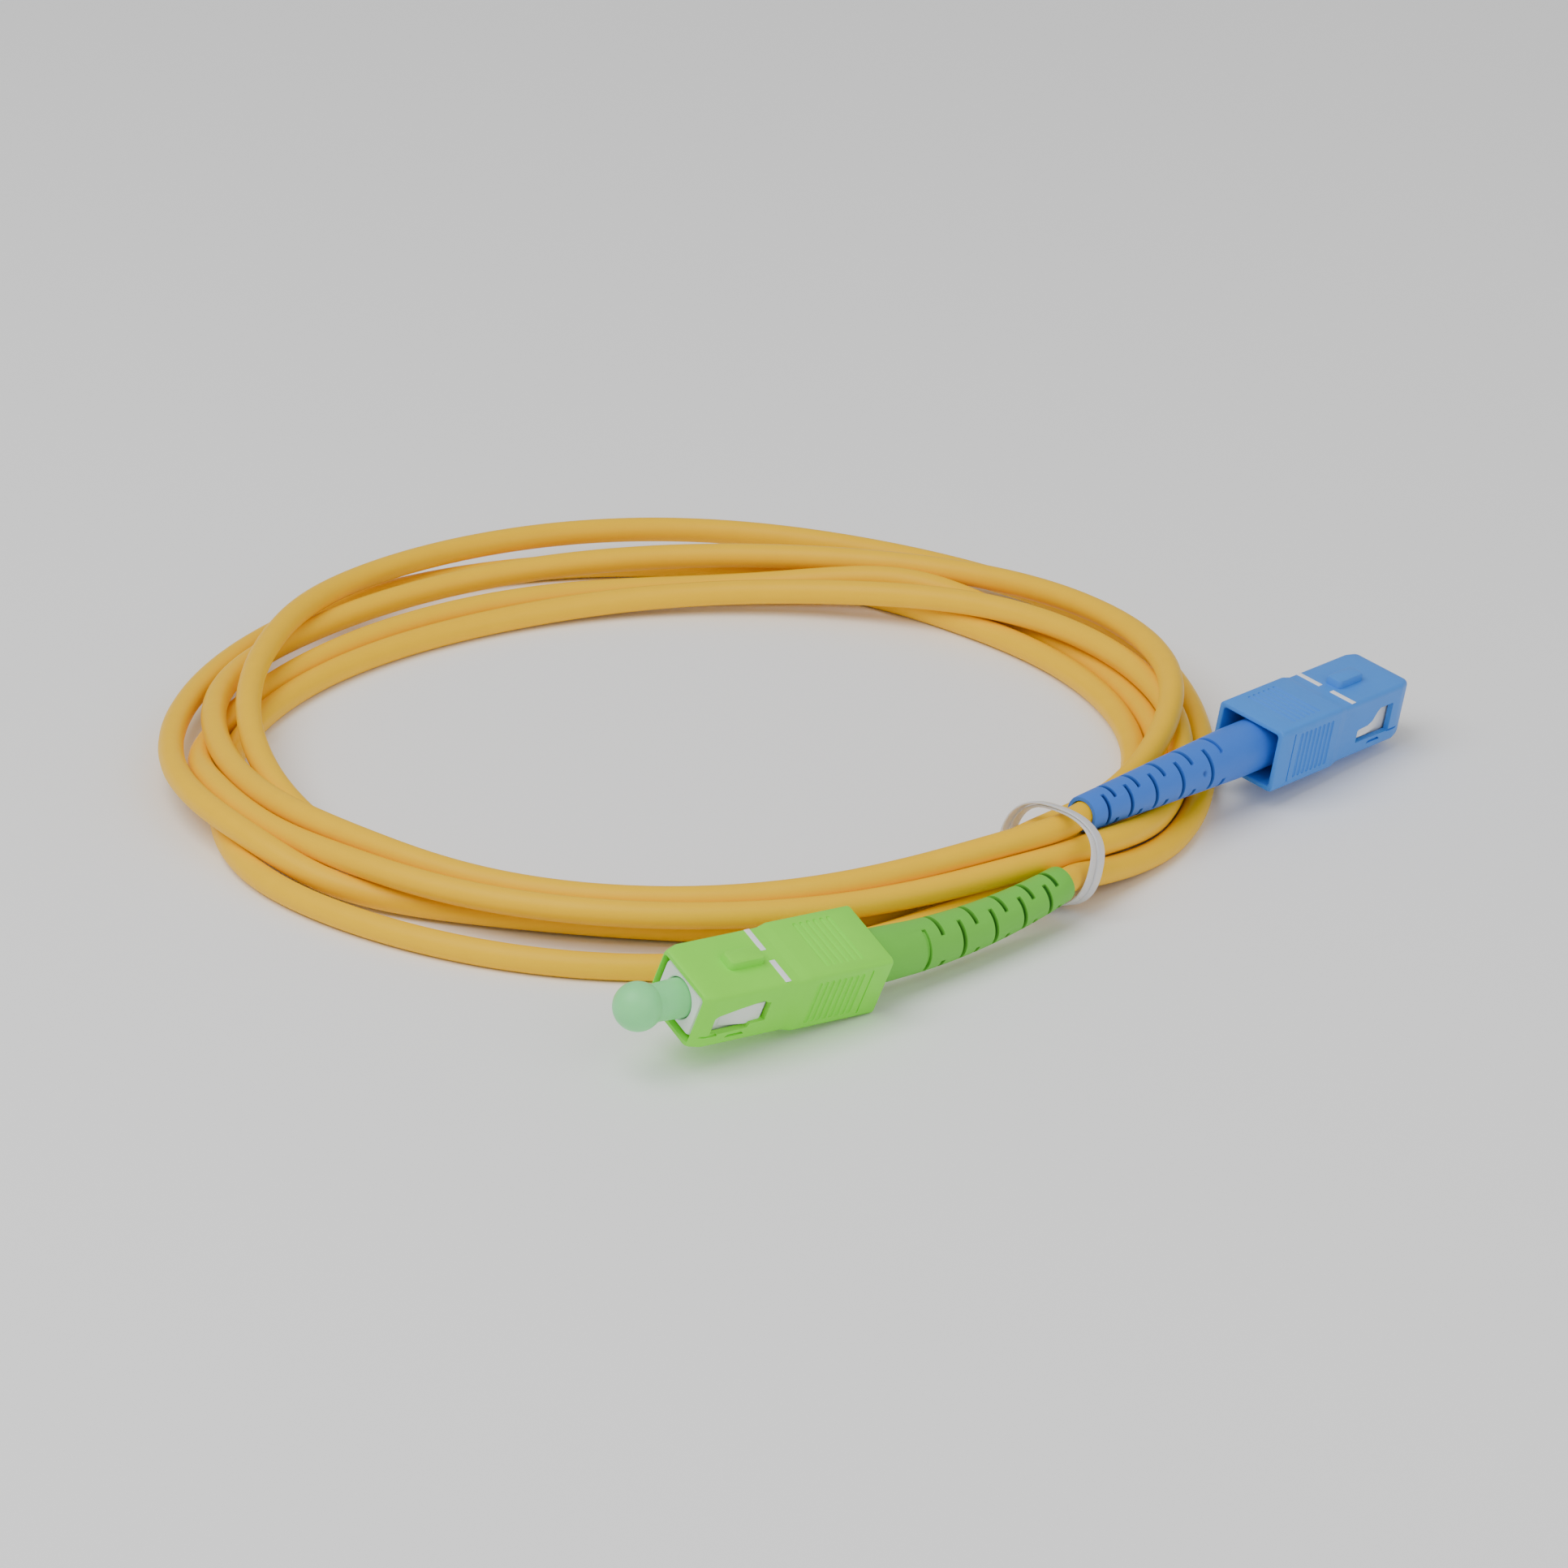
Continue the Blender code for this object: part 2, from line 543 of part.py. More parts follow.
def cord_coil(look, rooms):
    """One turned ring of the coil's outer shape, cut clear of the tie and of the two tails."""
    half = COIL_WIDTH / 2 - COIL_ROUNDING
    outline = []
    for middle_radius, middle_height, first in (
        (COIL_RADIUS + half, COIL_ROUNDING, -math.pi / 2),
        (COIL_RADIUS + half, COIL_HEIGHT - COIL_ROUNDING, 0.0),
        (COIL_RADIUS - half, COIL_HEIGHT - COIL_ROUNDING, math.pi / 2),
        (COIL_RADIUS - half, COIL_ROUNDING, math.pi),
    ):
        for share in (0.0, 0.5, 1.0):
            turn = first + share * math.pi / 2
            outline.append((
                middle_radius + COIL_ROUNDING * math.cos(turn), middle_height + COIL_ROUNDING * math.sin(turn)
            ))
    coil = turned("cord_coil", outline, ROOT, look, steps=72)
    coil.location = COIL_CENTRE * MM
    cut(coil, as_mesh(tie_loop("tie_clearance", GAP, TIE_BAND + 2 * GAP)))
    for room in rooms:
        cut(coil, room)
    return coil


def main():
    looks = {
        "apc_housing": material("green housing", (0.42, 0.81, 0.22), 0.42),
        "upc_housing": material("blue housing", (0.24, 0.52, 0.84), 0.42),
        "apc_boot": material("green boot", (0.36, 0.70, 0.22), 0.55),
        "upc_boot": material("blue boot", (0.09, 0.25, 0.68), 0.5),
        "apc_cap": material("green cap", (0.45, 0.86, 0.56), 0.35, alpha=0.8),
        "upc_cap": material("clear cap", (0.85, 0.88, 0.9), 0.3, alpha=0.5),
        "frame": material("white frame", (0.82, 0.83, 0.80), 0.4),
        "ceramic": material("ceramic", (0.9, 0.89, 0.85), 0.18),
        "nickel": material("nickel", (0.72, 0.70, 0.66), 0.3, metallic=1.0),
        "spring": material("spring steel", (0.62, 0.62, 0.62), 0.35, metallic=1.0),
        "crimp": material("crimp alloy", (0.75, 0.74, 0.70), 0.38, metallic=1.0),
        "aramid": material("aramid yarn", (0.85, 0.68, 0.22), 0.8),
        "buffer": material("buffered fibre", (0.92, 0.92, 0.9), 0.45),
        "cord": material("yellow jacket", (0.87, 0.55, 0.04), 0.45),
        "tie": material("clear tie", (0.88, 0.87, 0.86), 0.35, alpha=0.9),
    }
    rooms = []
    for spec in (APC, UPC):
        connector(spec, looks)
        route = tail_route(spec)
        tube(spec["name"] + "_cord_tail", route, CORD_RADIUS, ROOT, looks["cord"])
        rooms.append(tail_clearance(spec, route))
    tie_loop("tie", 0.0, TIE_BAND, looks["tie"])
    cord_coil(looks["cord"], rooms)
    ROOT.location = -ORIGIN * MM


clear_scene()
PIECES = bpy.data.collections.new("patch_cord")
CUTTERS = bpy.data.collections.new("cutters")
bpy.context.scene.collection.children.link(PIECES)
bpy.context.scene.collection.children.link(CUTTERS)
CUTTERS.hide_render = True
ROOT = bpy.data.objects.new("patch_cord_origin", None)
PIECES.objects.link(ROOT)
main()
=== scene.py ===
"""The looks of the fibre patch cord: a coiled yellow cord, its two connectors, their caps and the tie.

Each connector is built about its own axes, as in the CAD: local +Z is the way it plugs in, local +Y the key
side, and z = 0 the rear mouth of its outer housing. Lengths are in millimetres, times MM.
"""

import math

import bmesh
import bpy
import numpy as np
from mathutils import Euler, Matrix, Vector


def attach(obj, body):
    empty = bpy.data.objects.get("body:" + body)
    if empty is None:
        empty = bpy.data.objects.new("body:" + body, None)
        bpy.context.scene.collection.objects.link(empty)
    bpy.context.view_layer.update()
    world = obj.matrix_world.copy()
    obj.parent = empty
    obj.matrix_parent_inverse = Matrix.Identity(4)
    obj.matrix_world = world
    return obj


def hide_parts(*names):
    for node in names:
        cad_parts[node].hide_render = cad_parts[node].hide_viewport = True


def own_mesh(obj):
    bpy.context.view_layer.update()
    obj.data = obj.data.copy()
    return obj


MM = 0.001
ROOT_BODY = "cord_and_inner_plugs"

# Camera
AIM = Vector((-27.7, 31.2, 0.0))
VIEW_DISTANCE, VIEW_ELEVATION = 762.0, math.radians(24)
SENSOR_WIDTH, FOCAL_LENGTH = 36.0, 150.6

# Cord: places are seen from the middle of the coil, which is here in the frame
COIL_MIDDLE = Vector((-39.4, 34.2, 0.0))
CORD_DIAMETER = 3.0
POINT_SPACING = 4.0
# The coil's five turns, from the green end to the blue one: each turn's radius and height at these angles
ANGLES = (-34, -12, 12, 40, 68, 95, 125, 155, 180, 205, 235, 270, 300)
TURNS = (
    ((59.0, 60.0, 61.5, 66.0, 66.5, 66.5, 63.0, 55.0, 50.3, 47.5, 44.5, 42.8, 47.0),
     (2.4, 1.6, 1.5, 1.6, 2.6, 4.2, 5.2, 6.2, 6.0, 3.8, 1.7, 1.5, 1.5)),
    ((55.5, 56.0, 55.5, 57.0, 54.5, 51.0, 51.0, 54.0, 56.0, 53.0, 50.4, 49.8, 52.0),
     (2.3, 2.0, 1.8, 1.5, 1.7, 2.3, 2.2, 2.0, 1.8, 2.8, 5.0, 5.1, 5.2)),
    ((56.8, 57.3, 58.0, 55.5, 50.5, 49.0, 49.5, 51.0, 53.2, 56.0, 56.0, 55.5, 53.0),
     (4.9, 4.2, 4.2, 4.6, 3.4, 2.4, 1.6, 1.5, 1.5, 1.5, 1.5, 1.5, 1.5)),
    ((52.2, 52.0, 53.5, 53.5, 56.0, 61.0, 63.5, 61.0, 59.5, 56.5, 48.4, 45.8, 49.5),
     (1.6, 1.6, 1.6, 1.5, 1.5, 1.6, 1.7, 2.9, 3.8, 4.4, 2.3, 2.0, 2.1)),
    ((52.5, 53.5, 58.6, 60.5, 57.5, 56.5, 57.0, 58.0, 54.5, 50.8, 47.8, 46.5, 49.5),
     (5.2, 6.4, 6.7, 6.0, 5.0, 4.4, 3.8, 3.8, 4.4, 5.4, 5.6, 5.5, 6.8)),
)
# Where the cord runs between each boot's tip and the coil
GREEN_BEYOND = ((43.8, -38.6, 4.5),)
BLUE_BEYOND = ((40.6, -35.4, 8.3),)

# Tie
TIE_CENTRE = Vector((41.4, -35.3, 5.85))
TIE_HALF_WIDTH, TIE_HALF_HEIGHT, TIE_THICKNESS = 6.9, 5.6, 0.7
TIE_HEADING, TIE_LEAN = math.radians(47), math.radians(16)
BAND_HALF_WIDTH, BAND_THICKNESS = 0.66, 0.32

# Connectors: middle of the rear mouth, heading, dip and roll, how far the boot is bent and which way from
# upright, which way its first slots face, whether its cap ends in a ball, and the side whose window shows the
# latch's larger opening
APC = {
    "name": "apc", "mouth": Vector((-19.5, -27.0, 5.3)), "heading": math.radians(217.8),
    "dip": math.radians(-6.1), "roll": math.radians(-21.7), "boot_bend": math.radians(15),
    "bend_turn": math.radians(32), "slot_turn": math.radians(115), "cap_ball": True, "window_side": 1,
}
UPC = {
    "name": "upc", "mouth": Vector((25.4, 26.0, 7.0)), "heading": math.radians(48.5),
    "dip": math.radians(3.0), "roll": math.radians(9.5), "boot_bend": 0.0,
    "bend_turn": 0.0, "slot_turn": math.radians(-19.5), "cap_ball": False, "window_side": -1,
}
HOUSING_LENGTH, FRONT_WIDTH, FRONT_HEIGHT = 25.0, 9.0, 7.4
GRIP_WIDTH, GRIP_HEIGHT, WAIST_START, WAIST_END = 9.4, 7.9, 11.4, 12.6
FRAME_REAR, FRAME_FRONT, FRAME_WIDTH, FRAME_HEIGHT = 6.3, 24.7, 7.0, 5.4
JACKET_START, BOOT_STEP, BOOT_TAPER_START, BOOT_TIP, BOOT_FRONT = -5.7, -9.0, -3.0, -30.0, 4.0
BOOT_SLOTS = (2.4, 4.0, 6.3, 8.1, 10.6, 12.6, 15.2, 17.4, 20.3, 22.6)  # each slot's distance from the tip
SLOT_HALF_WIDTH, SLOT_EDGE, SLOT_REACH, SLOT_DEPTH = 0.24, 0.07, math.radians(58), 0.7
DIMPLE_FROM_TIP, DIMPLE_RADIUS, DIMPLE_DEPTH = 19.0, 0.42, 0.25
BOOT_RADIUS, BOOT_TIP_RADIUS = 3.05, 2.1
FERRULE_RADIUS, FERRULE_REAR, FERRULE_TIP = 1.25, 15.5, 26.2
APC_ANGLE, APC_SETBACK = math.radians(8), 0.15
CAP_REAR, CAP_RADIUS, CAP_BALL_MIDDLE, CAP_BALL_RADIUS = 20.2, 2.0, 30.0, 2.7
CAP_PLAIN_END, CAP_PLAIN_ROUNDING = 28.2, 1.4


# ---- materials

def surface(name, colour, roughness, mottle=0.04, grain=0.25, grain_depth=0.012, metallic=0.0, subsurface=0.0,
            transmission=0.0, coat=0.0, slot_painted_shade=None, specular=0.3):
    """A moulded surface: a mottled colour, an uneven gloss and a fine grain, all worked out in the shader, with
    painted shade, a darker colour, mixed in where the mesh's groove attribute marks the boot's slots.
    """
    made = bpy.data.materials.new(name)
    made.use_nodes = True
    nodes, links = made.node_tree.nodes, made.node_tree.links
    shader = nodes["Principled BSDF"]
    shader.inputs["Metallic"].default_value = metallic
    shader.inputs["Specular IOR Level"].default_value = specular
    shader.inputs["Subsurface Weight"].default_value = subsurface
    shader.inputs["Subsurface Radius"].default_value = (1.0, 0.8, 0.5)
    shader.inputs["Subsurface Scale"].default_value = 0.8 * MM
    shader.inputs["Transmission Weight"].default_value = transmission
    shader.inputs["Coat Weight"].default_value = coat
    shader.inputs["Coat Roughness"].default_value = 0.25
    place = nodes.new("ShaderNodeTexCoord").outputs["Object"]

    def noise(size, detail):
        made_noise = nodes.new("ShaderNodeTexNoise")
        made_noise.inputs["Scale"].default_value = 1 / (size * MM)
        made_noise.inputs["Detail"].default_value = detail
        links.new(place, made_noise.inputs["Vector"])
        return made_noise.outputs["Fac"]

    def ramp(source, low, high):
        mix = nodes.new("ShaderNodeMix")
        mix.data_type = "RGBA"
        mix.inputs["A"].default_value = (*low, 1.0)
        mix.inputs["B"].default_value = (*high, 1.0)
        links.new(source, mix.inputs["Factor"])
        return mix.outputs["Result"]

    darker = [channel * (1 - mottle) for channel in colour]
    lighter = [min(1.0, channel * (1 + mottle)) for channel in colour]
    tint = ramp(noise(2.5, 4.0), darker, lighter)
    # Painted shade: a darker copy of the colour is mixed in where the groove attribute marks the boot's slots and
    # dimple, standing in for the shade inside them.
    if slot_painted_shade:
        groove = nodes.new("ShaderNodeAttribute")
        groove.attribute_name = "groove"
        mix = nodes.new("ShaderNodeMix")
        mix.data_type = "RGBA"
        mix.inputs["B"].default_value = (*slot_painted_shade, 1.0)
        links.new(groove.outputs["Fac"], mix.inputs["Factor"])
        links.new(tint, mix.inputs["A"])
        tint = mix.outputs["Result"]
    links.new(tint, shader.inputs["Base Color"])
    gloss = nodes.new("ShaderNodeMapRange")
    gloss.inputs["To Min"].default_value = roughness - 0.06
    gloss.inputs["To Max"].default_value = roughness + 0.06
    links.new(noise(0.9, 3.0), gloss.inputs["Value"])
    links.new(gloss.outputs["Result"], shader.inputs["Roughness"])
    bump = nodes.new("ShaderNodeBump")
    bump.inputs["Strength"].default_value = 0.5
    bump.inputs["Distance"].default_value = grain_depth * MM
    links.new(noise(grain, 5.0), bump.inputs["Height"])
    links.new(bump.outputs["Normal"], shader.inputs["Normal"])
    return made


def make_looks():
    return {
        "apc_housing": surface("green housing", (0.25, 0.88, 0.05), 0.42, specular=0.2),
        "upc_housing": surface("blue housing", (0.055, 0.27, 0.80), 0.42, subsurface=0.05),
        # The boots' dark slot colours are painted shade for the insides of their slots and dimple.
        "apc_boot": surface(
            "green boot", (0.16, 0.58, 0.06), 0.5, specular=0.2, slot_painted_shade=(0.02, 0.13, 0.012)
        ),
        "upc_boot": surface(
            "blue boot", (0.045, 0.19, 0.72), 0.46, subsurface=0.04, slot_painted_shade=(0.004, 0.022, 0.16)
        ),
        "apc_cap": surface("mint cap", (0.27, 0.97, 0.36), 0.35, subsurface=0.25, transmission=0.15),
        "upc_cap": surface("clear cap", (0.90, 0.92, 0.93), 0.28, subsurface=0.3, transmission=0.6),
        "frame": surface("white frame", (0.86, 0.87, 0.85), 0.38, subsurface=0.15),
        "stripe": surface("white mark", (0.90, 0.90, 0.92), 0.5, grain_depth=0.004),
        "ceramic": surface("ceramic", (0.93, 0.92, 0.88), 0.16, mottle=0.01, grain_depth=0.001, coat=0.3),
        "nickel": surface("nickel", (0.72, 0.70, 0.66), 0.3, metallic=1.0, grain_depth=0.004),
        "spring": surface("spring steel", (0.60, 0.60, 0.61), 0.33, metallic=1.0, grain_depth=0.004),
        "crimp": surface("crimp alloy", (0.76, 0.75, 0.71), 0.36, metallic=1.0, grain_depth=0.006),
        "aramid": surface("aramid yarn", (0.86, 0.68, 0.22), 0.75, mottle=0.2, grain=0.12, grain_depth=0.05),
        "buffer": surface("buffered fibre", (0.92, 0.92, 0.90), 0.4),
        "jacket": surface("yellow jacket", (0.98, 0.56, 0.001), 0.42, mottle=0.04, specular=0.15),
        "tie": surface("clear tie", (0.90, 0.90, 0.91), 0.3, subsurface=0.35, transmission=0.3, coat=0.2),
    }


# ---- shapes

def connector_axes(spec):
    """The connector's own axes: Z along its heading with its dip, Y up, then rolled about Z."""
    level = Euler((math.pi / 2 + spec["dip"], 0, spec["heading"] + math.pi / 2)).to_matrix()
    rolled = level @ Matrix.Rotation(spec["roll"], 3, "Z")
    return Matrix.LocRotScale(spec["mouth"] * MM, rolled.to_quaternion(), None)


def bend_point(point, spec):
    """Carries a point behind the boot taper's start round the boot's bend, an arc of one radius."""
    total = BOOT_TAPER_START - BOOT_TIP
    if spec["boot_bend"] == 0 or point.z >= BOOT_TAPER_START:
        return point
    side = Matrix.Rotation(spec["bend_turn"] - spec["roll"], 3, "Z") @ Vector((0, 1, 0))
    radius = total / spec["boot_bend"]
    turn = (BOOT_TAPER_START - point.z) / radius
    across = point.x * side.x + point.y * side.y
    rest = Vector((point.x, point.y, 0)) - across * side
    out = radius * (1 - math.cos(turn)) + across * math.cos(turn)
    along = BOOT_TAPER_START - radius * math.sin(turn) + across * math.sin(turn)
    return rest + out * side + Vector((0, 0, along))


def add_piece(name, shape, axes, look, body, replaced=(), sharp=32):
    """Makes the object of a shape in millimetres, on these axes, and sends it with its body."""
    bmesh.ops.recalc_face_normals(shape, faces=shape.faces)
    bmesh.ops.scale(shape, vec=(MM, MM, MM), verts=shape.verts)
    for face in shape.faces:
        face.smooth = True
    mesh = bpy.data.meshes.new(name)
    shape.to_mesh(mesh)
    shape.free()
    mesh.set_sharp_from_angle(angle=math.radians(sharp))
    mesh.materials.append(look)
    piece = bpy.data.objects.new(name, mesh)
    bpy.context.scene.collection.objects.link(piece)
    piece.matrix_world = axes
    bpy.context.view_layer.update()
    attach(piece, body)
    if replaced:
        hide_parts(*replaced)
    return piece


def add_rings(shape, rings, closed=False, capped=False):
    """Skins a row of rings with the same number of points each; closed joins the last to the first."""
    rows = [[shape.verts.new(point) for point in ring] for ring in rings]
    pairs = list(zip(rows, rows[1:]))
    if closed:
        pairs.append((rows[-1], rows[0]))
    for row, following in pairs:
        for index in range(len(row)):
            after = (index + 1) % len(row)
            shape.faces.new((row[index], row[after], following[after], following[index]))
    if capped:
        shape.faces.new(rows[0])
        shape.faces.new(rows[-1])
    return rows


def rounded_rectangle(width, height, corner, z, per_corner=5):
    """A level ring of points, with each corner an arc."""
    points = []
    for quarter, (sign_x, sign_y) in enumerate(((1, 1), (-1, 1), (-1, -1), (1, -1))):
        middle_x = sign_x * (width / 2 - corner)
        middle_y = sign_y * (height / 2 - corner)
        for index in range(per_corner + 1):
            turn = (quarter + index / per_corner) * math.pi / 2
            points.append(Vector((middle_x + corner * math.cos(turn), middle_y + corner * math.sin(turn), z)))
    return points


def circle(radius, z, count):
    return [
        Vector((radius * math.cos(math.tau * index / count), radius * math.sin(math.tau * index / count), z))
        for index in range(count)
    ]


def fillet(outline, radius, steps=4):
    """The closed outline with each corner rounded, where there is room, by an arc's worth of points."""
    made = []
    for before, spot, after in zip(outline[-1:] + outline[:-1], outline, outline[1:] + outline[:1]):
        spot = Vector(spot)
        back, on = Vector(before) - spot, Vector(after) - spot
        reach = min(radius, 0.45 * back.length, 0.45 * on.length)
        if spot.x < 1e-6 or reach < 1e-4:
            made.append(spot)
            continue
        start, end = spot + back.normalized() * reach, spot + on.normalized() * reach
        for step in range(steps + 1):
            share = step / steps
            made.append(start.lerp(spot, share).lerp(spot.lerp(end, share), share))
    return made


def lathe(outline, count=72, radius=0.15):
    """A closed outline of (radius, z), filleted and turned about Z. Points on the axis close it."""
    shape = bmesh.new()
    points = fillet([Vector(spot) for spot in outline], radius)
    open_ends = points[0].x < 1e-6 or points[-1].x < 1e-6
    rings = [circle(max(spot.x, 1e-4), spot.y, count) for spot in points]
    add_rings(shape, rings, closed=not open_ends)
    if open_ends:
        bmesh.ops.remove_doubles(shape, verts=shape.verts, dist=3e-4)
    return shape


def block(size, middle, bevel=0.0):
    """A box of this size about this middle, with its edges rounded if a bevel is given."""
    shape = bmesh.new()
    bmesh.ops.create_cube(shape, size=1.0)
    bmesh.ops.scale(shape, vec=size, verts=shape.verts)
    if bevel:
        bmesh.ops.bevel(shape, geom=shape.edges[:], offset=bevel, segments=3, profile=0.5, affect="EDGES")
    bmesh.ops.translate(shape, vec=middle, verts=shape.verts)
    return shape


def prism(outline, low, high):
    """An outline of (z, y) points, pushed through from x = low to x = high."""
    shape = bmesh.new()
    add_rings(shape, [[Vector((x, y, z)) for z, y in outline] for x in (low, high)], capped=True)
    return shape


def combined(shapes):
    """Several shapes as one mesh of loose bodies."""
    whole = bmesh.new()
    for shape in shapes:
        bmesh.ops.recalc_face_normals(shape, faces=shape.faces)
        mesh = bpy.data.meshes.new("part of a cutter")
        shape.to_mesh(mesh)
        shape.free()
        whole.from_mesh(mesh)
        bpy.data.meshes.remove(mesh)
    return whole


def boolean(shape, tool, operation):
    """The shape with the tool taken away or added, as a new bmesh."""
    holders = []
    for label, source in (("shape", shape), ("tool", tool)):
        bmesh.ops.recalc_face_normals(source, faces=source.faces)
        mesh = bpy.data.meshes.new(label)
        source.to_mesh(mesh)
        source.free()
        holder = bpy.data.objects.new(label, mesh)
        bpy.context.scene.collection.objects.link(holder)
        holders.append(holder)
    step = holders[0].modifiers.new("Boolean", "BOOLEAN")
    step.operation, step.solver, step.object = operation, "EXACT", holders[1]
    step.use_self = True
    made = bmesh.new()
    made.from_object(holders[0], bpy.context.evaluated_depsgraph_get())
    for holder in holders:
        mesh = holder.data
        bpy.data.objects.remove(holder, do_unlink=True)
        bpy.data.meshes.remove(mesh)
    return made


# ---- cord

def smooth_curve(points, counts):
    """Points on a Catmull-Rom curve, with this many per stretch."""
    points = np.asarray(points, float)
    ends = np.vstack([2 * points[0] - points[1], points, 2 * points[-1] - points[-2]])
    made = []
    for before, start, end, after, count in zip(ends, ends[1:], ends[2:], ends[3:], counts):
        for step in range(count):
            t = step / count
            made.append(
                0.5 * (2 * start + (end - before) * t + (2 * before - 5 * start + 4 * end - after) * t**2
                       + (3 * start - before - 3 * end + after) * t**3)
            )
    made.append(points[-1])
    return np.array(made)


def evenly(points, spacing):
    """The same line with points about this far apart."""
    along = np.concatenate([[0], np.cumsum(np.linalg.norm(np.diff(points, axis=0), axis=1))])
    stations = np.linspace(0, along[-1], int(round(along[-1] / spacing)) + 1)
    return np.stack([np.interp(stations, along, points[:, axis]) for axis in range(3)], axis=1)


def through_boot(spec):
    """Where the jacket runs from its start in the crimp sleeve to just past the boot's tip."""
    stations = (JACKET_START, BOOT_STEP, -13.0, -17.0, -21.5, -26.0, BOOT_TIP)
    axes = connector_axes(spec)
    spots = [axes @ (bend_point(Vector((0, 0, z)), spec) * MM) / MM - COIL_MIDDLE for z in stations]
    return [np.array(spot) for spot in spots]


def laid_route():
    """The cord as it is first laid: green boot, five turns, blue boot."""
    polar = [
        (360 * number + angle, radius, height)
        for number, (radii, heights) in enumerate(TURNS)
        for angle, radius, height in zip(ANGLES, radii, heights)
    ]
    counts = [max(1, round((after[0] - spot[0]) / 6)) for spot, after in zip(polar, polar[1:])]
    polar = smooth_curve(polar, counts)
    turns = np.radians(polar[:, 0])
    ring = np.stack([polar[:, 1] * np.cos(turns), polar[:, 1] * np.sin(turns), polar[:, 2]], axis=1)
    green = through_boot(APC) + [np.array(spot) for spot in GREEN_BEYOND]
    blue = [np.array(spot) for spot in BLUE_BEYOND] + through_boot(UPC)[::-1]
    whole = np.vstack([green, ring[1:], blue])
    return evenly(smooth_curve(whole, [4] * (len(whole) - 1)), POINT_SPACING)


def tie_axes():
    """The tie's own axes: local Z runs through its loop."""
    turn = Euler((math.pi / 2 + TIE_LEAN, 0, TIE_HEADING + math.pi / 2)).to_matrix()
    return Matrix.LocRotScale((TIE_CENTRE + COIL_MIDDLE) * MM, turn.to_quaternion(), None)


def into_tie(points):
    """Draws the points that pass through the tie's loop in to where the loop leaves room for them."""
    axes = np.array(tie_axes().to_3x3())
    centre = np.array(TIE_CENTRE)
    own = (points - centre) @ axes
    room = TIE_THICKNESS + CORD_DIAMETER / 2 + 0.05
    half = np.array([TIE_HALF_WIDTH - room, TIE_HALF_HEIGHT - room])
    size = ((np.abs(own[:, :2]) / half) ** 2.4).sum(axis=1) ** (1 / 2.4)
    near = (np.abs(own[:, 2]) < 3.5) & (size > 1) & (size < 3)
    own[near, :2] /= size[near, None]
    return own @ axes.T + centre


def settled_route(points, girths):
    """Pushes the laid cord's stretches apart until each lies on or beside the next, a diameter away."""
    rounds, push_share, stiffness, hold = 420, 0.3, 0.05, 0.006
    laid, pinned = points.copy(), 8
    number = np.arange(len(points))
    others = np.abs(number[:, None] - number[None]) > 8
    apart = girths[:, None] + girths[None] + 0.05
    for turn in range(rounds):
        ahead = np.gradient(points, axis=0)
        ahead /= np.linalg.norm(ahead, axis=1)[:, None]
        between = points[:, None] - points[None]
        along = (between * ahead[None]).sum(axis=2)
        across = between - along[..., None] * ahead[None]
        distance = np.linalg.norm(across, axis=2) + 1e-9
        weight = np.clip(1.3 - np.abs(along) / POINT_SPACING, 0, 1) * (others & (distance < apart))
        push = (weight * (apart - distance) / distance)[..., None] * across
        step = push.sum(axis=1) / np.maximum(weight.sum(axis=1), 1)[:, None]
        step -= push.sum(axis=0) / np.maximum(weight.sum(axis=0), 1)[:, None]
        stiff = np.zeros_like(points)
        stiff[2:-2] = 4 * (points[3:-1] + points[1:-3]) - 6 * points[2:-2] - points[4:] - points[:-4]
        fade = math.sqrt(1 - turn / rounds)
        points = points + push_share * step + stiffness * stiff + hold * fade * (laid - points)
        points = into_tie(points)
        points[:, 2] = np.maximum(points[:, 2], CORD_DIAMETER / 2)
        points[:pinned], points[-pinned:] = laid[:pinned], laid[-pinned:]
    return points


def boot_girths(points):
    """Half the thickness at each point: the cord's own, or the boot's where the cord is inside one."""
    girths = np.full(len(points), CORD_DIAMETER / 2)
    for spec in (APC, UPC):
        line = np.array(through_boot(spec))
        radii = np.linspace(BOOT_RADIUS - 0.1, BOOT_TIP_RADIUS, len(line))
        distance = np.linalg.norm(points[:, None] - line[None], axis=2)
        close = distance.min(axis=1) < 2.5
        girths[close] = radii[distance.argmin(axis=1)[close]]
    return girths


def cord(looks):
    """The one jacketed cord, and the spot where it starts in the green plug's crimp sleeve."""
    laid = laid_route()
    settled = settled_route(laid, boot_girths(laid))
    fine = evenly(smooth_curve(settled, [4] * (len(settled) - 1)), 1.5)
    curve = bpy.data.curves.new("cord", "CURVE")
    curve.dimensions = "3D"
    curve.bevel_depth = CORD_DIAMETER / 2 * MM
    curve.bevel_resolution = 6
    curve.use_fill_caps = True
    spline = curve.splines.new("POLY")
    spline.points.add(len(fine) - 1)
    for spot, point in zip(spline.points, fine):
        spot.co = (*((Vector(point) + COIL_MIDDLE) * MM), 1.0)
    spline.use_smooth = True
    curve.materials.append(looks["jacket"])
    piece = bpy.data.objects.new("cord", curve)
    bpy.context.scene.collection.objects.link(piece)
    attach(piece, ROOT_BODY)
    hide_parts("cord_coil", "apc_cord_tail", "upc_cord_tail")
    return piece, tuple((Vector(fine[0]) + COIL_MIDDLE) * MM)


# ---- tie

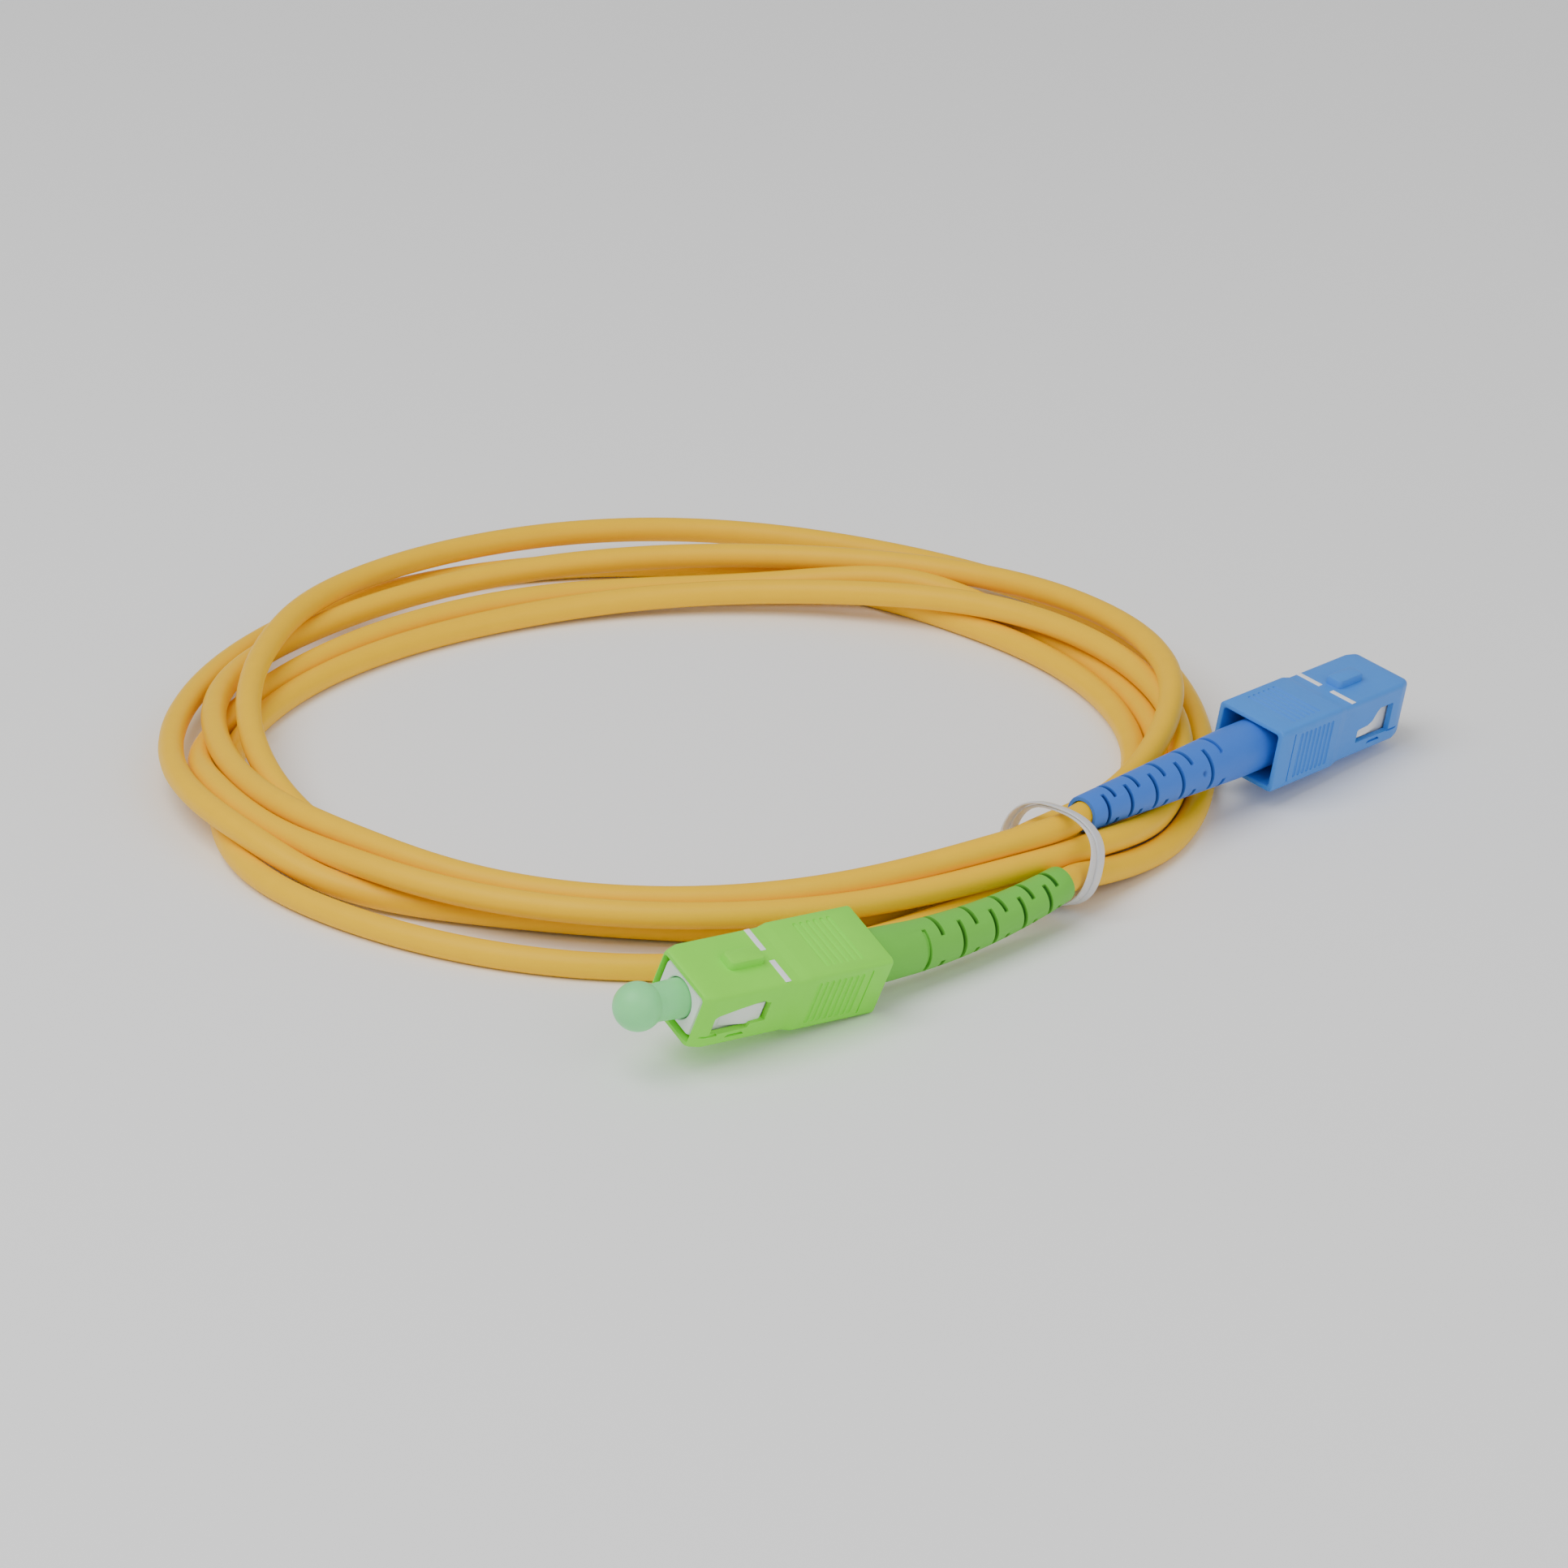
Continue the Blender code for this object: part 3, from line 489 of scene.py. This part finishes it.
def tie(looks):
    """A flat clear band wound twice round the bundle: its two turns lie side by side and cross once."""
    steps = 240
    shape = bmesh.new()
    rings = []
    for index in range(steps + 1):
        share = index / steps
        turn = 2 * math.tau * share - 0.2
        layer = 0.5 * TIE_THICKNESS * (1 - math.cos(math.tau * share - 0.6)) / 2
        drift = 0.72 * math.cos(math.tau * share + 0.6) + 0.1 * math.sin(3 * turn)
        inset = TIE_THICKNESS - BAND_THICKNESS / 2 - layer
        cos, sin = math.cos(turn), math.sin(turn)
        spot = Vector(((TIE_HALF_WIDTH - inset) * math.copysign(abs(cos) ** 0.8, cos),
                       (TIE_HALF_HEIGHT - inset) * math.copysign(abs(sin) ** 0.8, sin), drift))
        outward = Vector((cos / TIE_HALF_WIDTH, sin / TIE_HALF_HEIGHT, 0)).normalized()
        ring = []
        for corner in range(16):
            round_it = math.tau * corner / 16
            lift = BAND_THICKNESS / 2 * math.copysign(abs(math.sin(round_it)) ** 0.7, math.sin(round_it))
            across = BAND_HALF_WIDTH * math.copysign(abs(math.cos(round_it)) ** 0.6, math.cos(round_it))
            ring.append(spot + outward * lift + Vector((0, 0, across)))
        rings.append(ring)
    add_rings(shape, rings, capped=True)
    add_piece("tie_band", shape, tie_axes(), looks["tie"], ROOT_BODY, ["tie"], sharp=50)


# ---- connectors

def housing_shell():
    """The sleeve's walls, skinned outside from rear to front and back along the inside."""
    outer = (
        (0.0, -0.34, 0.5), (0.05, -0.14, 0.56), (0.2, 0.0, 0.6),
        (WAIST_START - 0.15, 0.0, 0.6), (WAIST_START, -0.03, 0.6),
    )
    rings = [rounded_rectangle(GRIP_WIDTH + less, GRIP_HEIGHT + less, corner, z) for z, less, corner in outer]
    rings.append(rounded_rectangle(FRONT_WIDTH + 0.04, FRONT_HEIGHT + 0.04, 0.6, WAIST_END - 0.15))
    rings.append(rounded_rectangle(FRONT_WIDTH, FRONT_HEIGHT, 0.6, WAIST_END))
    nose = ((23.3, 0.0, 0.0), (23.6, 0.12, 0.0), (24.55, 0.72, 0.06), (24.85, 0.95, 0.2), (25.0, 1.12, 0.36))
    for z, in_x, in_y in nose:
        rings.append(rounded_rectangle(FRONT_WIDTH - in_x, FRONT_HEIGHT - in_y, 0.6, z))
    inner = (
        (25.0, 7.66, 6.12, 0.45), (24.8, 7.6, 6.0, 0.4), (12.2, 7.6, 6.0, 0.4), (11.8, 8.0, 6.6, 0.4),
        (0.3, 8.0, 6.6, 0.4), (0.06, 8.1, 6.7, 0.42), (0.0, 8.3, 6.9, 0.45),
    )
    rings += [rounded_rectangle(width, height, corner, z) for z, width, height, corner in inner]
    shell = bmesh.new()
    add_rings(shell, rings, closed=True)
    return shell


def housing_cutters(side):
    """Windows, the slits in front of them, their pockets and the fine ribs of the grip."""
    near_window = ((15.7, -1.9), (22.1, -2.0), (22.1, 1.5), (21.9, 1.7), (19.6, 1.7), (19.1, 1.3), (18.4, 0.3),
                   (17.6, -0.1), (15.9, -0.2), (15.7, -0.4))
    far_window = ((15.7, -1.2), (17.6, -1.3), (17.9, -1.8), (22.9, -1.9), (22.9, 0.5), (22.5, 0.8), (20.0, 1.3),
                  (16.8, 1.8), (16.2, 1.4), (15.7, 1.3))
    windows = {-1: near_window, 1: far_window}
    shapes = []
    for edge in (-1, 1):
        low, high = sorted((edge * 3.0, edge * 5.2))
        shapes.append(prism(windows[edge], low, high))
        shapes.append(block((0.5, 0.24, 3.6), (edge * 4.5, -2.0, 23.6)))
        notch = ((18.0, -2.65), (20.6, -2.65), (20.2, -2.3), (18.4, -2.3))
        shapes.append(prism(notch, *sorted((edge * 4.2, edge * 5))))
        for index in range(8):
            shapes.append(rib_groove(edge * (GRIP_WIDTH / 2 + 0.02), GRIP_HEIGHT - 2.1, 3.9 + 0.83 * index, "side"))
        shapes.append(block((0.3, GRIP_HEIGHT - 1.7, 0.22), (edge * (GRIP_WIDTH / 2 + 0.02), 0, 2.6), bevel=0.05))
        for index in range(6):
            shapes.append(rib_groove(edge * (GRIP_HEIGHT / 2 + 0.02), GRIP_WIDTH - 2.4, 3.7 + 0.92 * index, "top"))
    return combined(shapes)


def rib_groove(height, length, z, face):
    """A fine round-ended groove across the grip; face says whether it lies on a side or on top."""
    groove = bmesh.new()
    rings = []
    ends = ((-1.0, 0.02), (-0.97, 0.2), (-0.9, 0.28), (0.9, 0.28), (0.97, 0.2), (1.0, 0.02))
    for share, radius in ends:
        ring = []
        for index in range(8):
            turn = math.tau * index / 8
            off, along = 0.9 * radius * math.cos(turn), 1.15 * radius * math.sin(turn)
            across = share * length / 2
            if face == "side":
                ring.append(Vector((height + off, across, z + along)))
            else:
                ring.append(Vector((across, height + off, z + along)))
        rings.append(ring)
    add_rings(groove, rings, capped=True)
    return groove


def key_shape():
    """The raised key, wider at its foot."""
    key = bmesh.new()
    foot = FRONT_HEIGHT / 2
    profile = ((foot - 0.3, 0.0), (foot + 0.1, 0.0), (foot + 0.72, 0.05), (foot + 0.92, 0.12), (foot + 1.0, 0.3))
    rings = []
    for y, less in profile:
        flat = rounded_rectangle(2.2 - 2 * less, 4.7 - 2 * less, 0.5, 0)
        rings.append([Vector((spot.x, y, 17.55 + spot.y)) for spot in flat])
    add_rings(key, rings, capped=True)
    return key


def outer_housing(spec, axes, looks):
    name = spec["name"]
    shell = boolean(housing_shell(), key_shape(), "UNION")
    shell = boolean(shell, housing_cutters(spec["window_side"]), "DIFFERENCE")
    piece = add_piece(
        name + "_housing", shell, axes, looks[name + "_housing"], name + "_sleeve",
        [name + "_outer_housing"], sharp=28,
    )
    soften = piece.modifiers.new("Soft edges", "BEVEL")
    soften.width = 0.06 * MM
    soften.segments = 2
    soften.limit_method = "ANGLE"
    soften.angle_limit = math.radians(40)
    soften.harden_normals = True
    for side in (-1, 1):
        mark = block((3.4, 0.1, 0.75), (side * 2.5, FRONT_HEIGHT / 2, 14.1), bevel=0.04)
        stripe = name + ("_mark_left" if side < 0 else "_mark_right")
        add_piece(stripe, mark, axes, looks["stripe"], name + "_sleeve")


def plug_frame(spec, axes, looks):
    """The white inner frame: a chamfered body with a round nose bore and a ramp in each side window."""
    count = 4 * 9
    outside = (
        (FRAME_REAR, 0.3), (FRAME_REAR + 0.15, 0.0), (FRAME_FRONT - 0.45, 0.0), (FRAME_FRONT - 0.12, 0.25),
        (FRAME_FRONT, 0.5),
    )
    rings = [rounded_rectangle(FRAME_WIDTH - less, FRAME_HEIGHT - less, 0.6, z, per_corner=8) for z, less in outside]
    bore = ((FRAME_FRONT, 2.42), (FRAME_FRONT - 0.12, 2.3), (18.3, 2.28), (18.2, 2.2), (18.2, 1.5), (17.0, 1.45),
            (17.0, 2.3), (FRAME_REAR + 0.1, 2.35), (FRAME_REAR, 2.4))
    start = -math.pi / count
    for z, radius in bore:
        rings.append([
            Vector((radius * math.cos(start + math.tau * (index + 0.5) / count),
                    radius * math.sin(start + math.tau * (index + 0.5) / count), z))
            for index in range(count)
        ])
    body = bmesh.new()
    add_rings(body, rings, closed=True)
    ramps = []
    for side in (-1, 1):
        ramp = bmesh.new()
        outline = ((16.0, 3.3), (16.0, 3.95), (16.3, 4.1), (18.2, 4.1), (21.3, 3.55), (21.5, 3.3))
        add_rings(
            ramp, [[Vector((side * x, y, z)) for z, x in outline] for y in (-1.55, -0.35, 1.15)], capped=True
        )
        ramps.append(ramp)
    whole = combined([body, *ramps])
    name = spec["name"]
    add_piece(
        name + "_frame", whole, axes, looks["frame"], ROOT_BODY, [name + "_plug_frame"], sharp=30
    )


def ferrule(spec, axes, looks):
    """The ceramic rod; the angled-polish one's end face slopes."""
    name = spec["name"]
    rod = lathe(
        [(0, FERRULE_REAR), (FERRULE_RADIUS, FERRULE_REAR), (FERRULE_RADIUS, FERRULE_TIP - 0.35),
         (FERRULE_RADIUS - 0.3, FERRULE_TIP - 0.02), (0, FERRULE_TIP)],
        count=64, radius=0.08,
    )
    if name == "apc":
        for vertex in rod.verts:
            if vertex.co.z > FERRULE_TIP - 0.2:
                vertex.co.z += vertex.co.y * math.tan(APC_ANGLE) - APC_SETBACK
    add_piece(
        name + "_ceramic_ferrule", rod, axes, looks["ceramic"], name + "_ferrule_group",
        [name + "_ferrule"], sharp=40,
    )


def boot_radius(z):
    """The boot's outside, even in front of where its taper starts."""
    share = min(max((BOOT_TAPER_START - z) / (BOOT_TAPER_START - BOOT_TIP), 0.0), 1.0)
    return BOOT_RADIUS + (BOOT_TIP_RADIUS - BOOT_RADIUS) * share


def turn_between(turn, other):
    """The angle from one direction to another, at most half a turn."""
    return abs((turn - other + math.pi) % math.tau - math.pi)


def boot(spec, axes, looks):
    """The strain relief: each slot is two facing arcs, turned by 90 degrees from the last slot's; its slots and
    dimple also carry painted shade, a weight in the groove attribute that darkens the material there.
    """
    name, count = spec["name"], 144
    half, soft = SLOT_HALF_WIDTH, SLOT_EDGE
    middles = [BOOT_TIP + from_tip for from_tip in BOOT_SLOTS]
    dimple_z, dimple_turn = BOOT_TIP + DIMPLE_FROM_TIP, spec["slot_turn"] + math.pi
    stations = {BOOT_FRONT, BOOT_FRONT - 0.2, 2.0, 0.0, -1.5, BOOT_TAPER_START, BOOT_TIP + 0.25, BOOT_TIP + 0.08,
                BOOT_TIP}
    stations |= {dimple_z + 0.1 * step for step in range(-5, 6)}
    for middle in middles:
        stations |= {middle + off for off in (-half - soft, -half, -half / 2, 0, half / 2, half, half + soft)}
    rings, painted_shade_rows = [], []
    for z in sorted({round(z, 3) for z in stations}, reverse=True):
        rounding = 0.12 * (z > BOOT_FRONT - 0.1) + 0.08 * (z < BOOT_TIP + 0.1)
        ring, row = [], []
        for index in range(count):
            turn = math.tau * index / count
            cut = 0.0
            for number, middle in enumerate(middles):
                if abs(z - middle) > half + soft / 2:
                    continue
                facing = spec["slot_turn"] + number * math.pi / 2
                off = min(turn_between(turn, facing), turn_between(turn, facing + math.pi))
                cut = max(cut, min(max((SLOT_REACH - off) / 0.08, 0.0), 1.0))
            away = math.hypot(z - dimple_z, boot_radius(z) * turn_between(turn, dimple_turn)) / DIMPLE_RADIUS
            dimple = DIMPLE_DEPTH * max(1 - away**2, 0.0)
            radius = boot_radius(z) - rounding - SLOT_DEPTH * cut * min(1.0, boot_radius(z) - 1.75) - dimple
            ring.append(Vector((radius * math.cos(turn), radius * math.sin(turn), z)))
            # Painted shade: the slot cut and the dimple set how much the material darkens here, for the shade inside
            # them.
            row.append(max(cut, 2.2 * dimple))
        rings.append(ring)
        painted_shade_rows.append(row)
    inner = ((BOOT_TIP, 1.95), (BOOT_TIP, 1.62), (BOOT_TIP + 0.1, 1.56), (BOOT_STEP, 1.56), (BOOT_STEP + 0.5, 2.55),
             (BOOT_FRONT - 0.1, 2.55), (BOOT_FRONT, 2.65))
    for z, radius in inner:
        rings.append(circle(radius, z, count))
        painted_shade_rows.append([0.0] * count)
    shape = bmesh.new()
    # The groove attribute carries the painted shade weights to the material.
    groove = shape.verts.layers.float.new("groove")
    rows = add_rings(shape, rings, closed=True)
    for row, shade_weights in zip(rows, painted_shade_rows):
        for vertex, cut in zip(row, shade_weights):
            vertex[groove] = cut
            vertex.co = bend_point(vertex.co.copy(), spec)
    add_piece(
        name + "_strain_relief", shape, axes, looks[name + "_boot"], ROOT_BODY, [name + "_boot"],
        sharp=38,
    )


def dust_cap(spec, axes, looks):
    """The cap: a neck over the ferrule that widens a little to its rim, and a ball or a low dome at its end."""
    name = spec["name"]
    steps = 26
    if spec["cap_ball"]:
        middle, radius, rise = CAP_BALL_MIDDLE, CAP_BALL_RADIUS, CAP_BALL_RADIUS
        start = -math.acos((CAP_RADIUS + 0.12) / CAP_BALL_RADIUS)
        neck = [(CAP_RADIUS + 0.06, CAP_BALL_MIDDLE - 2.4)]
    else:
        middle, radius, rise = CAP_PLAIN_END - CAP_PLAIN_ROUNDING, CAP_RADIUS, CAP_PLAIN_ROUNDING
        start, neck = 0.0, []
    end = []
    for step in range(steps):
        turn = start + (math.pi / 2 - start) * step / steps
        end.append((radius * math.cos(turn), middle + rise * math.sin(turn)))
    bore = FERRULE_RADIUS + 0.12
    outline = [
        (0, FERRULE_TIP + 0.9), (bore - 0.4, FERRULE_TIP + 0.8), (bore, FERRULE_TIP + 0.4), (bore, CAP_REAR),
        (CAP_RADIUS + 0.18, CAP_REAR), (CAP_RADIUS + 0.2, CAP_REAR + 4.5), *neck, *end, (0, middle + rise),
    ]
    add_piece(
        name + "_cap_moulding", lathe(outline, count=96, radius=0.2), axes, looks[name + "_cap"], name + "_cap",
        [name + "_dust_cap"], sharp=60,
    )


def connector(spec, looks):
    axes = connector_axes(spec)
    outer_housing(spec, axes, looks)
    plug_frame(spec, axes, looks)
    ferrule(spec, axes, looks)
    boot(spec, axes, looks)
    dust_cap(spec, axes, looks)
    inner_parts(spec, axes, looks)


def inner_parts(spec, axes, looks):
    """What is inside: the ferrule's flange, the crimp body, the crimp sleeve, the fibre, the yarn and the spring."""
    name = spec["name"]
    group = name + "_ferrule_group"
    turned_pieces = (
        ("flange", "ferrule_flange", group, "nickel", "nickel",
         [(0.75, 12.8), (1.4, 12.8), (1.4, 15.0), (2.05, 15.0), (2.05, 16.3), (1.75, 16.6), (1.38, 16.6),
          (1.38, 15.3), (0.75, 15.3)]),
        ("crimp_body", "stop_ring", ROOT_BODY, "nickel", "nickel",
         [(0.75, -5.0), (1.65, -5.0), (1.65, 4.3), (2.9, 4.3), (2.9, 6.0), (2.05, 6.0), (2.05, 8.2), (0.75, 8.2)]),
        ("crimp_tube", "crimp_sleeve", ROOT_BODY, "crimp", "crimp_alloy",
         [(1.75, -8.5), (2.1, -8.5), (2.1, -5.6), (2.4, -5.3), (2.4, 3.9), (2.1, 3.9), (2.1, -5.3), (1.75, -5.3)]),
        ("fibre", "buffered_fibre", ROOT_BODY, "buffer", "buffer",
         [(0, -5.4), (0.45, -5.4), (0.45, 13.5), (0, 13.5)]),
    )
    for label, node, body, look, slot, outline in turned_pieces:
        add_piece(
            f"{name}_{label}", lathe(outline, count=64, radius=0.08), axes, looks[look], body,
            [f"{name}_{node}"], sharp=40,
        )
    yarn(name, axes, looks)
    spring(name, axes, looks)


def yarn(name, axes, looks):
    """The yarn fanned over the crimp body: a ring of fine strands with a slight twist."""
    count, strands = 180, 45
    rings = []
    for z in np.linspace(-4.7, 3.6, 24):
        ring = []
        for index in range(count):
            turn = math.tau * index / count
            radius = 1.92 + 0.025 * math.cos(strands * turn + 2.0 * z)
            ring.append(Vector((radius * math.cos(turn), radius * math.sin(turn), float(z))))
        rings.append(ring)
    rings += [circle(1.81, z, count) for z in (3.6, -4.7)]
    shape = bmesh.new()
    add_rings(shape, rings, closed=True)
    add_piece(
        name + "_yarn", shape, axes, looks["aramid"], ROOT_BODY, [name + "_aramid_yarn"], sharp=60
    )


def spring(name, axes, looks):
    """The ferrule's spring: a round wire, with its end turns wound close."""
    radius, wire, rear, front, turns, per_turn = 1.85, 0.18, 8.6, 14.8, 6, 40
    rings = []
    for index in range(turns * per_turn + 1):
        share = index / (turns * per_turn)
        eased = share - 0.09 * math.sin(math.tau * share)
        z = rear + wire + (front - rear - 2 * wire) * eased
        turn = math.tau * index / per_turn
        outward = Vector((math.cos(turn), math.sin(turn), 0))
        rings.append([
            outward * (radius + wire * math.cos(side)) + Vector((0, 0, z + wire * math.sin(side)))
            for side in (math.tau * corner / 12 for corner in range(12))
        ])
    shape = bmesh.new()
    add_rings(shape, rings, capped=True)
    piece = add_piece(
        name + "_coil_spring", shape, axes, looks["spring"], ROOT_BODY, [name + "_spring"],
        sharp=60,
    )
    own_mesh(piece)


# ---- stage

def camera():
    """The photograph's view: from in front and a little above."""
    data = bpy.data.cameras.new("camera")
    data.sensor_width, data.lens = SENSOR_WIDTH, FOCAL_LENGTH
    data.clip_start, data.clip_end = 0.01, 50
    made = bpy.data.objects.new("camera", data)
    bpy.context.scene.collection.objects.link(made)
    back = Vector((0, -math.cos(VIEW_ELEVATION), math.sin(VIEW_ELEVATION)))
    made.location = (AIM + VIEW_DISTANCE * back) * MM
    made.rotation_euler = (math.pi / 2 - VIEW_ELEVATION, 0, 0)
    bpy.context.scene.camera = made


def stage():
    """A pale floor and a soft studio: two big lamps and a bright, even surround."""
    floor_mesh = bpy.data.meshes.new("floor")
    shape = bmesh.new()
    bmesh.ops.create_grid(shape, x_segments=1, y_segments=1, size=3.0)
    shape.to_mesh(floor_mesh)
    shape.free()
    floor = bpy.data.objects.new("floor", floor_mesh)
    bpy.context.scene.collection.objects.link(floor)
    floor_mesh.materials.append(surface("pale floor", (0.97, 0.97, 0.97), 0.8, mottle=0.005, grain=4.0))
    for name, spot, size, power in (
        ("key lamp", (-0.35, -0.25, 0.75), 0.7, 5.6),
        ("fill lamp", (0.55, -0.65, 0.55), 0.8, 2.5),
    ):
        data = bpy.data.lights.new(name, "AREA")
        data.size, data.energy = size, power
        lamp = bpy.data.objects.new(name, data)
        bpy.context.scene.collection.objects.link(lamp)
        lamp.location = spot
        lamp.rotation_euler = (Vector((0, 0, 0)) - Vector(spot)).to_track_quat("-Z", "Y").to_euler()
    world = bpy.data.worlds.new("surround")
    bpy.context.scene.world = world
    world.use_nodes = True
    world.node_tree.nodes["Background"].inputs["Color"].default_value = (1.0, 1.0, 1.0, 1.0)
    world.node_tree.nodes["Background"].inputs["Strength"].default_value = 0.47


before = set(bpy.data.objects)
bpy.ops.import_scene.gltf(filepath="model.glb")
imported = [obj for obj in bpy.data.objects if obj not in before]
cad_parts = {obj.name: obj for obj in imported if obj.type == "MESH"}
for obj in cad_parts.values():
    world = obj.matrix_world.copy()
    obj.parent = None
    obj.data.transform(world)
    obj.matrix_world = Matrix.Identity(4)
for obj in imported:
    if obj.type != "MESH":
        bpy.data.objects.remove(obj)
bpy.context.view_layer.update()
camera()
looks = make_looks()
cord_piece, cord_start = cord(looks)
tie(looks)
for spec in (APC, UPC):
    connector(spec, looks)
stage()
